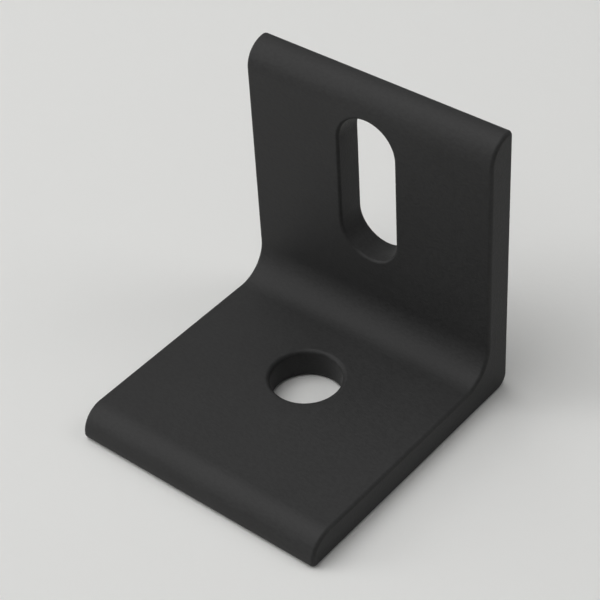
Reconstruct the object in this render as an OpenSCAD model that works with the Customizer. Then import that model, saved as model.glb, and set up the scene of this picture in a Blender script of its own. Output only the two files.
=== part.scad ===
// Panel mount bracket: one short length of extruded aluminium angle, drilled in the base leg and
// slotted in the upright leg, with every edge eased and the whole piece powder coated.
// Millimetres, +Z up. X runs along the width, the base leg reaches towards -Y and the back face of
// the upright leg is on the +Y side. The origin is on the underside, below the middle of the
// bracket's box.

/* [Angle] */

// Width of the bracket, along the heel
bracket_w = 28; // [22:0.5:45]
// Length of the base leg, from the back face to its tip
base_leg = 30; // [27:0.5:45]
// Height of the upright leg, from the underside to its tip
upright_leg = 30; // [27:0.5:45]
// Thickness of both legs, over the coat
wall = 3.2; // [2.4:0.1:4]

/* [Rounds of the section] */

// Radius of the fillet between the legs
fillet_r = 3.4; // [1:0.1:5]
// Radius of the outside of the heel
heel_r = 1.4; // [0.5:0.1:2.4]
// Radius of the outer corner at the tip of each leg
tip_r = 0.6; // [0.4:0.05:0.8]

/* [Hole in the base leg] */

// Diameter of the bolt hole
hole_d = 7; // [4:0.1:9]
// Distance of the hole's axis from the back face
hole_from_back = 13.4; // [12:0.1:17]

/* [Slot in the upright leg] */

// Width of the slot
slot_w = 6.5; // [4:0.1:9]
// Height of the slot's lower end above the underside
slot_start = 10.9; // [8:0.1:12]
// Distance from the slot's upper end to the tip of the leg
slot_tip_gap = 3.1; // [3:0.1:6]

/* [Eased edges] */

// Radius of the eased edges around both ends of the section
edge_r = 0.35; // [0.15:0.05:0.35]
// Radius of the eased rims of the hole
hole_rim_r = 0.45; // [0.2:0.05:0.7]
// Radius of the eased rims of the slot
slot_rim_r = 0.3; // [0.2:0.05:0.4]

/* [Hidden] */

// The steps that curves are drawn in: at most this angle, and about this length
$fa = 4;
$fs = 0.15;

// How far a cutter stands out past the faces that it crosses
spare = 1;

// The back face of the upright leg
back_y = base_leg / 2;
// The long round on the inner side of each tip takes all of the wall that the outer corner leaves
toe_r = wall - tip_r;
// Where the fillet meets the straight inner face of each leg
fillet_end = wall + fillet_r;
// The slot's length over its round ends, which a taller leg makes longer
slot_l = upright_leg - slot_tip_gap - slot_start;
// The height of the slot's middle above the underside
slot_height = slot_start + slot_l / 2;
// Half of the slot's length, from its middle to the centre of a round end
slot_reach = (slot_l - slot_w) / 2;

// The section lies in a plane of its own: its x is the distance forward from the back face and its
// y is the height above the underside. This stands it up, with its third direction along X.
module stand_up() {
    translate([0, back_y, 0])
        mirror([0, 1, 0])
            rotate([90, 0, 90])
                children();
}

// Its children as drawn for the base leg, or turned over the heel's diagonal for the upright leg
module over_the_diagonal() {
    mirror([1, -1, 0])
        children();
}

// What a round of the given radius takes off a square corner at the origin, with the metal
// towards -x and -y
module corner_scrap(radius) {
    difference() {
        translate([-radius, -radius])
            square(radius + spare);
        translate([-radius, -radius])
            circle(radius);
    }
}

// What the two rounds take off the tip of a leg that lies along x
module tip_scrap(leg) {
    translate([leg, wall])
        corner_scrap(toe_r);
    translate([leg, 0])
        mirror([0, 1])
            corner_scrap(tip_r);
}

// The section of the angle, an L with round inner tips, a filleted root and a soft heel
module section() {
    difference() {
        union() {
            square([base_leg, wall]);
            square([wall, upright_leg]);
            // metal in the root, up to the fillet
            difference() {
                square(fillet_end);
                translate([fillet_end, fillet_end])
                    circle(fillet_r);
            }
        }
        rotate(180)
            corner_scrap(heel_r);
        tip_scrap(base_leg);
        over_the_diagonal()
            tip_scrap(upright_leg);
    }
}

// The easing of a straight edge that runs along x, with the metal above it, at the +end of the width
module straight_easing(from, to) {
    translate([from, 0, bracket_w / 2])
        rotate([90, 0, 90])
            linear_extrude(to - from)
                mirror([1, 0])
                    corner_scrap(edge_r);
}

// The easing of the edge of a round of the given radius that bulges out of the metal
module round_easing(radius, start, sweep) {
    rotate(start)
        rotate_extrude(angle = sweep)
            translate([radius, bracket_w / 2])
                corner_scrap(edge_r);
}

// The easing of the edge of the fillet, whose metal lies outside its radius
module fillet_easing() {
    translate([fillet_end, fillet_end])
        rotate(180)
            rotate_extrude(angle = 90)
                translate([fillet_r, bracket_w / 2])
                    mirror([1, 0])
                        corner_scrap(edge_r);
}

// The easing of one leg's edge, for a leg that lies along x: its outer face, its tip and its inner face
module leg_easing(leg) {
    straight_easing(heel_r, leg - tip_r);
    translate([leg - tip_r, tip_r])
        round_easing(tip_r, -90, 90);
    translate([leg - toe_r, wall - toe_r])
        round_easing(toe_r, 0, 90);
    translate([0, wall])
        mirror([0, 1, 0])
            straight_easing(fillet_end, leg - toe_r);
}

// The easing of the whole outline of the section, at the +end of the width
module outline_easing() {
    leg_easing(base_leg);
    over_the_diagonal()
        leg_easing(upright_leg);
    translate([heel_r, heel_r])
        round_easing(heel_r, 180, 90);
    fillet_easing();
}

// The easing of a round rim at z = 0, with the metal below it and outside the radius
module rim_easing(radius, rim_r, sweep) {
    rotate_extrude(angle = sweep)
        translate([radius, 0])
            mirror([1, 0])
                corner_scrap(rim_r);
}

// A bore along z through one wall, standing from z = -wall to z = 0
module bore() {
    translate([0, 0, -wall - spare])
        cylinder(d = hole_d, h = wall + 2 * spare);
    rim_easing(hole_d / 2, hole_rim_r, 360);
    translate([0, 0, -wall])
        mirror([0, 0, 1])
            rim_easing(hole_d / 2, hole_rim_r, 360);
}

// The easing of the slot's rim at z = 0: two round ends and two straight sides, with the slot along x
module slot_rim_easing() {
    for (end = [0, 180])
        rotate(end) {
            translate([slot_reach, 0])
                rotate(-90)
                    rim_easing(slot_w / 2, slot_rim_r, 180);
            translate([-slot_reach, -slot_w / 2, 0])
                rotate([90, 0, 90])
                    linear_extrude(2 * slot_reach)
                        corner_scrap(slot_rim_r);
        }
}

// A slot along x through one wall, standing from z = -wall to z = 0
module slot() {
    translate([0, 0, -wall - spare])
        linear_extrude(wall + 2 * spare) {
            square([2 * slot_reach, slot_w], center = true);
            for (side = [-1, 1])
                translate([side * slot_reach, 0])
                    circle(d = slot_w);
        }
    slot_rim_easing();
    translate([0, 0, -wall])
        mirror([0, 0, 1])
            slot_rim_easing();
}

// The bracket itself
module bracket() {
    color([0.1, 0.1, 0.105])
        difference() {
            stand_up()
                linear_extrude(bracket_w, center = true)
                    section();
            stand_up()
                for (flip = [0, 1])
                    mirror([0, 0, flip])
                        outline_easing();
            translate([0, back_y - hole_from_back, wall])
                bore();
            translate([0, back_y - wall, slot_height])
                rotate([90, 90, 0])
                    slot();
        }
}

bracket();
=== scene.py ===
"""Dresses the panel mount bracket: a short length of aluminium angle in black powder coat.

The solid carries the whole shape, so its own mesh stays and takes a procedural finish. The rest
of the file is the studio around it: a pale seamless floor, soft lamps and the camera.

Lengths are in metres, with +Z up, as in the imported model, unless a name says otherwise.
"""

import logging
import math
from dataclasses import dataclass, field
from enum import Enum
from typing import Any, Mapping, Sequence

import bmesh
import bpy
from mathutils import Euler, Matrix, Vector


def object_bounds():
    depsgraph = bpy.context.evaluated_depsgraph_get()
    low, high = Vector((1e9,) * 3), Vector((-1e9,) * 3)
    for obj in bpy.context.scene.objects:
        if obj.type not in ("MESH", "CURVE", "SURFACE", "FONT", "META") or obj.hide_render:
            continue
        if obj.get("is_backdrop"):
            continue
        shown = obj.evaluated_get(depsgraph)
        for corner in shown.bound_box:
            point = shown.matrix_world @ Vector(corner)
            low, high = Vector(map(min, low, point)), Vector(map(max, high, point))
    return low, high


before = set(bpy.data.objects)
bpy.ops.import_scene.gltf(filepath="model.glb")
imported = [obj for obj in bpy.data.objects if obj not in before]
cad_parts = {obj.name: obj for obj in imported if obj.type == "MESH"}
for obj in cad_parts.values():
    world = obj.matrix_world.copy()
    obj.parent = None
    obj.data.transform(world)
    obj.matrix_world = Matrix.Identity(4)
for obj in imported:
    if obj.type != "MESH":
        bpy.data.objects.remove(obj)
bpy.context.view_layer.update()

MM = 0.001
FRAME_PX = 600
SENSOR_MM = 36.0

# the curve that screen colours are stored with: a straight foot, and a power above it
HEX_FULL = 255
SRGB_FOOT = 0.04045
SRGB_FOOT_SLOPE = 12.92
SRGB_SHIFT = 0.055
SRGB_POWER = 2.4

Colour = tuple[float, float, float, float]
Tree = bpy.types.NodeTree
Socket = bpy.types.NodeSocket

log = logging.getLogger("bracket")


class Body(str, Enum):
    """The bodies that pieces ride on."""

    ROOT = "root"


class Node(str, Enum):
    """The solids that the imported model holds."""

    BRACKET = "bracket"


class Blend(str, Enum):
    """How one colour is laid over another."""

    MIX = "MIX"
    MULTIPLY = "MULTIPLY"


def linear(hex_colour: str) -> Colour:
    """Turns a screen colour into the linear colour that shaders take.

    Args:
        hex_colour: the colour as six hex digits after a hash sign.

    Returns:
        Red, green, blue and an alpha of one.
    """

    def channel(digits: str) -> float:
        """Turns one channel of the colour, from its two hex digits."""
        share = int(digits, 16) / HEX_FULL
        if share <= SRGB_FOOT:
            return share / SRGB_FOOT_SLOPE
        return ((share + SRGB_SHIFT) / (1 + SRGB_SHIFT)) ** SRGB_POWER

    red, green, blue = (channel(hex_colour[i : i + 2]) for i in (1, 3, 5))
    return (red, green, blue, 1.0)


def lumps_per_metre(lump_mm: float) -> float:
    """Gives the scale of a noise on Object coordinates, from the size of its lumps."""
    return 1 / (lump_mm * MM)


def direction(azimuth_deg: float, elevation_deg: float) -> Vector:
    """Gives the direction from the bracket to something around it.

    Args:
        azimuth_deg: 0 is in front, towards -Y, and 90 is on the +X side.
        elevation_deg: the height above the horizon.

    Returns:
        The direction, of length one.
    """
    around, above = math.radians(azimuth_deg), math.radians(elevation_deg)
    flat = math.cos(above)
    return Vector((math.sin(around) * flat, -math.cos(around) * flat, math.sin(above)))


def fresh_tree(owner: bpy.types.Material | bpy.types.World) -> Tree:
    """Empties the node tree of a material or of the world.

    Args:
        owner: what the tree belongs to.

    Returns:
        The empty tree.
    """
    owner.use_nodes = True
    owner.node_tree.nodes.clear()
    return owner.node_tree


def add_node(
    tree: Tree, kind: str, inputs: Mapping[str, Any] | None = None, **settings: str
) -> bpy.types.Node:
    """Adds one node to a tree, with its settings, values and links.

    Args:
        tree: the node tree that gets the node.
        kind: the node's type, as Blender names it.
        inputs: a value or another node's output socket, for each input by name.
        settings: the node's own properties.

    Returns:
        The new node.
    """
    node = tree.nodes.new(kind)
    for name, value in settings.items():
        setattr(node, name, value)
    for name, value in (inputs or {}).items():
        if isinstance(value, Socket):
            tree.links.new(value, node.inputs[name])
        else:
            node.inputs[name].default_value = value
    return node


@dataclass(frozen=True)
class PowderCoat:
    """Black polyester powder coat, sprayed as dry powder on aluminium and baked.

    The powder melts and levels in the oven, but not quite: it leaves soft swells, the orange
    peel, and a fine grit where single grains never melted flat. It gives the eye a near-black
    with a wide, soft gloss along every round, and a fine grain over all of it.
    """

    name: str = "black_powder_coat"
    colour: str = "#303030"
    thin_colour: str = "#353535"
    # a slow drift in the coat's thickness, which shifts its tone by a shade
    drift_mm: float = 9.0
    drift_detail: float = 2.0
    roughness: float = 0.55
    # how much duller the grains are, and how much shinier the pits between them
    roughness_swing: float = 0.05
    ior: float = 1.5
    # the grit traps part of the gloss, so less of it comes back than from a smooth coat
    gloss_level: float = 0.2
    peel_mm: float = 1.1
    peel_detail: float = 1.0
    peel_height_mm: float = 0.012
    # the real grit is about 0.05 mm; it is drawn coarser, so that it shows at this distance
    grit_mm: float = 0.25
    grit_detail: float = 2.0
    grit_height_mm: float = 0.02
    # most of the grit's noise lies between these two, from the pits to the top of the grains
    grit_low: float = 0.35
    grit_high: float = 0.65
    # the pits between the grains trap a little light, so they are darker by this factor
    pit_shade: float = 0.8
    # the die drew the metal's grain out along the extrusion, which is X, and the grit lies in it
    grit_stretch: float = 1.8

    def build(self) -> bpy.types.Material:
        """Makes the material.

        Returns:
            The powder coat, ready for a material slot.
        """
        material = bpy.data.materials.new(self.name)
        tree = fresh_tree(material)
        place = add_node(tree, "ShaderNodeTexCoord").outputs["Object"]
        grit = self.grit(tree, place)
        shader = add_node(
            tree,
            "ShaderNodeBsdfPrincipled",
            {
                "Base Color": self.tone(tree, place, grit),
                "Metallic": 0.0,
                "Roughness": self.dullness(tree, grit),
                "IOR": self.ior,
                "Specular IOR Level": self.gloss_level,
                "Normal": self.relief(tree, place, grit),
            },
        )
        add_node(tree, "ShaderNodeOutputMaterial", {"Surface": shader.outputs["BSDF"]})
        return material

    def grit(self, tree: Tree, place: Socket) -> Socket:
        """Adds the pattern of the grit, drawn out along X.

        Args:
            tree: the material's nodes.
            place: the coordinates, in metres.

        Returns:
            The pattern's value, low in the pits and high on the grains.
        """
        drawn = add_node(
            tree,
            "ShaderNodeMapping",
            {"Vector": place, "Scale": (1 / self.grit_stretch, 1.0, 1.0)},
        )
        noise = add_node(
            tree,
            "ShaderNodeTexNoise",
            {
                "Vector": drawn.outputs["Vector"],
                "Scale": lumps_per_metre(self.grit_mm),
                "Detail": self.grit_detail,
            },
        )
        return noise.outputs["Fac"]

    def grit_span(self, grit: Socket) -> dict[str, Any]:
        """Says which stretch of the grit's value runs from the pits to the grains."""
        return {"Value": grit, "From Min": self.grit_low, "From Max": self.grit_high}

    def tone(self, tree: Tree, place: Socket, grit: Socket) -> Socket:
        """Adds the coat's colour: a slow drift between two blacks, darker in the grit's pits.

        Args:
            tree: the material's nodes.
            place: the coordinates, in metres.
            grit: the pattern of the grit.

        Returns:
            The colour.
        """
        drift = add_node(
            tree,
            "ShaderNodeTexNoise",
            {
                "Vector": place,
                "Scale": lumps_per_metre(self.drift_mm),
                "Detail": self.drift_detail,
            },
        )
        coat = add_node(
            tree,
            "ShaderNodeMix",
            {
                "Factor": drift.outputs["Fac"],
                "A": linear(self.colour),
                "B": linear(self.thin_colour),
            },
            data_type="RGBA",
            blend_type=Blend.MIX.value,
        )
        shade = add_node(
            tree,
            "ShaderNodeMapRange",
            {**self.grit_span(grit), "To Min": self.pit_shade, "To Max": 1.0},
        )
        shaded = add_node(
            tree,
            "ShaderNodeMix",
            {"Factor": 1.0, "A": coat.outputs["Result"], "B": shade.outputs["Result"]},
            data_type="RGBA",
            blend_type=Blend.MULTIPLY.value,
        )
        return shaded.outputs["Result"]

    def dullness(self, tree: Tree, grit: Socket) -> Socket:
        """Adds the coat's roughness, higher on the grains than in the pits.

        Args:
            tree: the material's nodes.
            grit: the pattern of the grit.

        Returns:
            The roughness.
        """
        rough = add_node(
            tree,
            "ShaderNodeMapRange",
            {
                **self.grit_span(grit),
                "To Min": self.roughness - self.roughness_swing,
                "To Max": self.roughness + self.roughness_swing,
            },
        )
        return rough.outputs["Result"]

    def relief(self, tree: Tree, place: Socket, grit: Socket) -> Socket:
        """Adds the swells of the peel, with the grit standing on them.

        Args:
            tree: the material's nodes.
            place: the coordinates, in metres.
            grit: the pattern of the grit.

        Returns:
            The normal.
        """
        peel = add_node(
            tree,
            "ShaderNodeTexNoise",
            {
                "Vector": place,
                "Scale": lumps_per_metre(self.peel_mm),
                "Detail": self.peel_detail,
            },
        )
        swells = add_node(
            tree,
            "ShaderNodeBump",
            {"Height": peel.outputs["Fac"], "Distance": self.peel_height_mm * MM},
        )
        grains = add_node(
            tree,
            "ShaderNodeBump",
            {
                "Height": grit,
                "Distance": self.grit_height_mm * MM,
                "Normal": swells.outputs["Normal"],
            },
        )
        return grains.outputs["Normal"]


@dataclass(frozen=True)
class MattPaper:
    """Seamless studio paper, matt and pale. It gives the eye an even ground with no gloss."""

    name: str = "studio_paper"
    colour: str = "#e4e4e2"
    roughness: float = 0.9
    fibre_mm: float = 0.6
    fibre_detail: float = 2.0
    fibre_height_mm: float = 0.01

    def build(self) -> bpy.types.Material:
        """Makes the material.

        Returns:
            The paper, ready for a material slot.
        """
        material = bpy.data.materials.new(self.name)
        tree = fresh_tree(material)
        place = add_node(tree, "ShaderNodeTexCoord").outputs["Object"]
        fibre = add_node(
            tree,
            "ShaderNodeTexNoise",
            {
                "Vector": place,
                "Scale": lumps_per_metre(self.fibre_mm),
                "Detail": self.fibre_detail,
            },
        )
        nap = add_node(
            tree,
            "ShaderNodeBump",
            {"Height": fibre.outputs["Fac"], "Distance": self.fibre_height_mm * MM},
        )
        shader = add_node(
            tree,
            "ShaderNodeBsdfPrincipled",
            {
                "Base Color": linear(self.colour),
                "Roughness": self.roughness,
                "Normal": nap.outputs["Normal"],
            },
        )
        add_node(tree, "ShaderNodeOutputMaterial", {"Surface": shader.outputs["BSDF"]})
        return material


@dataclass
class Bracket:
    """The bracket itself, one solid in one finish."""

    finish: PowderCoat = field(default_factory=PowderCoat)

    def dress(self, nodes: Mapping[str, bpy.types.Object]) -> bpy.types.Object:
        """Gives the solid its coat.

        Args:
            nodes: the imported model's objects, by name.

        Returns:
            The dressed object.
        """
        piece = nodes[Node.BRACKET.value]
        coat = self.finish.build()
        if not piece.material_slots:
            piece.data.materials.append(coat)
        for slot in piece.material_slots:
            slot.material = coat
        return piece


@dataclass
class Sweep:
    """A floor that curves up into a backdrop, as one sheet of studio paper."""

    half_width: float = 3.0
    front: float = 3.0
    back: float = 0.9
    bend_radius: float = 0.5
    bend_steps: int = 24
    height: float = 1.2
    # the sheet lies this far below the bracket, so that the two faces don't coincide
    drop: float = 0.00002
    paper: MattPaper = field(default_factory=MattPaper)

    def profile(self) -> list[tuple[float, float]]:
        """Works out the sheet's side view.

        Returns:
            Points of depth and height, from the front edge to the top.
        """
        points = [(-self.front, 0.0)]
        for step in range(self.bend_steps + 1):
            turn = math.pi / 2 * step / self.bend_steps
            depth = self.back + self.bend_radius * math.sin(turn)
            points.append((depth, self.bend_radius * (1 - math.cos(turn))))
        points.append((self.back + self.bend_radius, self.height))
        return points

    def build(self, turn: float) -> bpy.types.Object:
        """Makes the sheet and marks it as no part of the bracket.

        Args:
            turn: the angle in radians that the sheet is turned by, so that it faces the camera.

        Returns:
            The sheet.
        """
        mesh = bmesh.new()
        rows = [
            [
                mesh.verts.new((side * self.half_width, depth, height - self.drop))
                for side in (-1, 1)
            ]
            for depth, height in self.profile()
        ]
        for near, far in zip(rows, rows[1:]):
            mesh.faces.new((near[0], near[1], far[1], far[0])).smooth = True
        bmesh.ops.transform(mesh, matrix=Matrix.Rotation(turn, 4, "Z"), verts=mesh.verts)
        data = bpy.data.meshes.new("studio_sweep")
        mesh.to_mesh(data)
        mesh.free()
        sheet = bpy.data.objects.new("studio_sweep", data)
        sheet.data.materials.append(self.paper.build())
        bpy.context.scene.collection.objects.link(sheet)
        sheet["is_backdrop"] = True
        return sheet


@dataclass(frozen=True)
class SoftBox:
    """A square lamp that faces the bracket."""

    name: str
    azimuth_deg: float
    elevation_deg: float
    side: float
    watts: float
    distance: float = 1.0

    def build(self, target: Vector) -> bpy.types.Object:
        """Hangs the lamp.

        Args:
            target: the point that the lamp faces.

        Returns:
            The lamp.
        """
        lamp = bpy.data.lights.new(self.name, "AREA")
        lamp.shape = "SQUARE"
        lamp.size = self.side
        lamp.energy = self.watts
        away = direction(self.azimuth_deg, self.elevation_deg)
        hung = bpy.data.objects.new(self.name, lamp)
        hung.location = target + away * self.distance
        hung.rotation_euler = (-away).to_track_quat("-Z", "Y").to_euler()
        bpy.context.scene.collection.objects.link(hung)
        return hung


@dataclass
class PictureCamera:
    """The camera, at the picture's viewing angle."""

    azimuth_deg: float = 41.491
    elevation_deg: float = 40.457
    roll_deg: float = -3.761
    distance: float = 0.17309
    aim_mm: tuple[float, float, float] = (1.106, 0.195, 14.312)
    focal_px: float = 1901.1
    # nothing nearer or farther than these is drawn
    nearest: float = 0.01
    farthest: float = 20.0

    def build(self) -> bpy.types.Object:
        """Makes the camera and hands it to the scene.

        Returns:
            The camera.
        """
        data = bpy.data.cameras.new("picture_camera")
        data.sensor_width = SENSOR_MM
        data.lens = self.focal_px / FRAME_PX * SENSOR_MM
        data.clip_start = self.nearest
        data.clip_end = self.farthest
        away = direction(self.azimuth_deg, self.elevation_deg)
        level = (-away).to_track_quat("-Z", "Y")
        roll = Euler((0.0, 0.0, math.radians(self.roll_deg))).to_quaternion()
        camera = bpy.data.objects.new("picture_camera", data)
        camera.location = Vector(self.aim_mm) * MM + away * self.distance
        camera.rotation_euler = (level @ roll).to_euler()
        bpy.context.scene.collection.objects.link(camera)
        bpy.context.scene.camera = camera
        return camera


@dataclass
class Studio:
    """The floor, the lamps, the even light of the room and the camera."""

    room_colour: str = "#ffffff"
    room_strength: float = 0.13
    camera: PictureCamera = field(default_factory=PictureCamera)
    sweep: Sweep = field(default_factory=Sweep)
    lamps: Sequence[SoftBox] = (
        # draws the soft bands along the rounds and the fillet
        SoftBox("lamp_low", azimuth_deg=-55.0, elevation_deg=20.0, side=0.45, watts=3.2),
        # light the flat faces and the floor
        SoftBox("lamp_high_front", azimuth_deg=-40.0, elevation_deg=68.0, side=0.9, watts=4.6),
        SoftBox("lamp_high_left", azimuth_deg=-100.0, elevation_deg=68.0, side=0.9, watts=3.0),
        # reaches the walls inside the slot
        SoftBox("lamp_behind_right", azimuth_deg=130.0, elevation_deg=45.0, side=0.45, watts=1.2),
    )

    def light_room(self) -> None:
        """Fills the room with even light."""
        world = bpy.data.worlds.new("studio_room")
        tree = fresh_tree(world)
        glow = add_node(
            tree,
            "ShaderNodeBackground",
            {"Color": linear(self.room_colour), "Strength": self.room_strength},
        )
        add_node(tree, "ShaderNodeOutputWorld", {"Surface": glow.outputs["Background"]})
        bpy.context.scene.world = world

    def build(self) -> None:
        """Sets up everything around the bracket."""
        low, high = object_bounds()
        middle = (low + high) / 2
        self.light_room()
        self.sweep.build(math.radians(self.camera.azimuth_deg))
        for lamp in self.lamps:
            lamp.build(middle)
        self.camera.build()
        bpy.context.scene.view_settings.view_transform = "Standard"


def main() -> None:
    """Dresses the bracket, sets up the studio and reports both."""
    logging.basicConfig(level=logging.INFO, format="%(name)s: %(message)s")
    piece = Bracket().dress(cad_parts)
    log.info("%s: %d faces, riding on %s", piece.name, len(piece.data.polygons), Body.ROOT.value)
    Studio().build()
    log.info("studio set up")


if __name__ == "__main__":
    main()
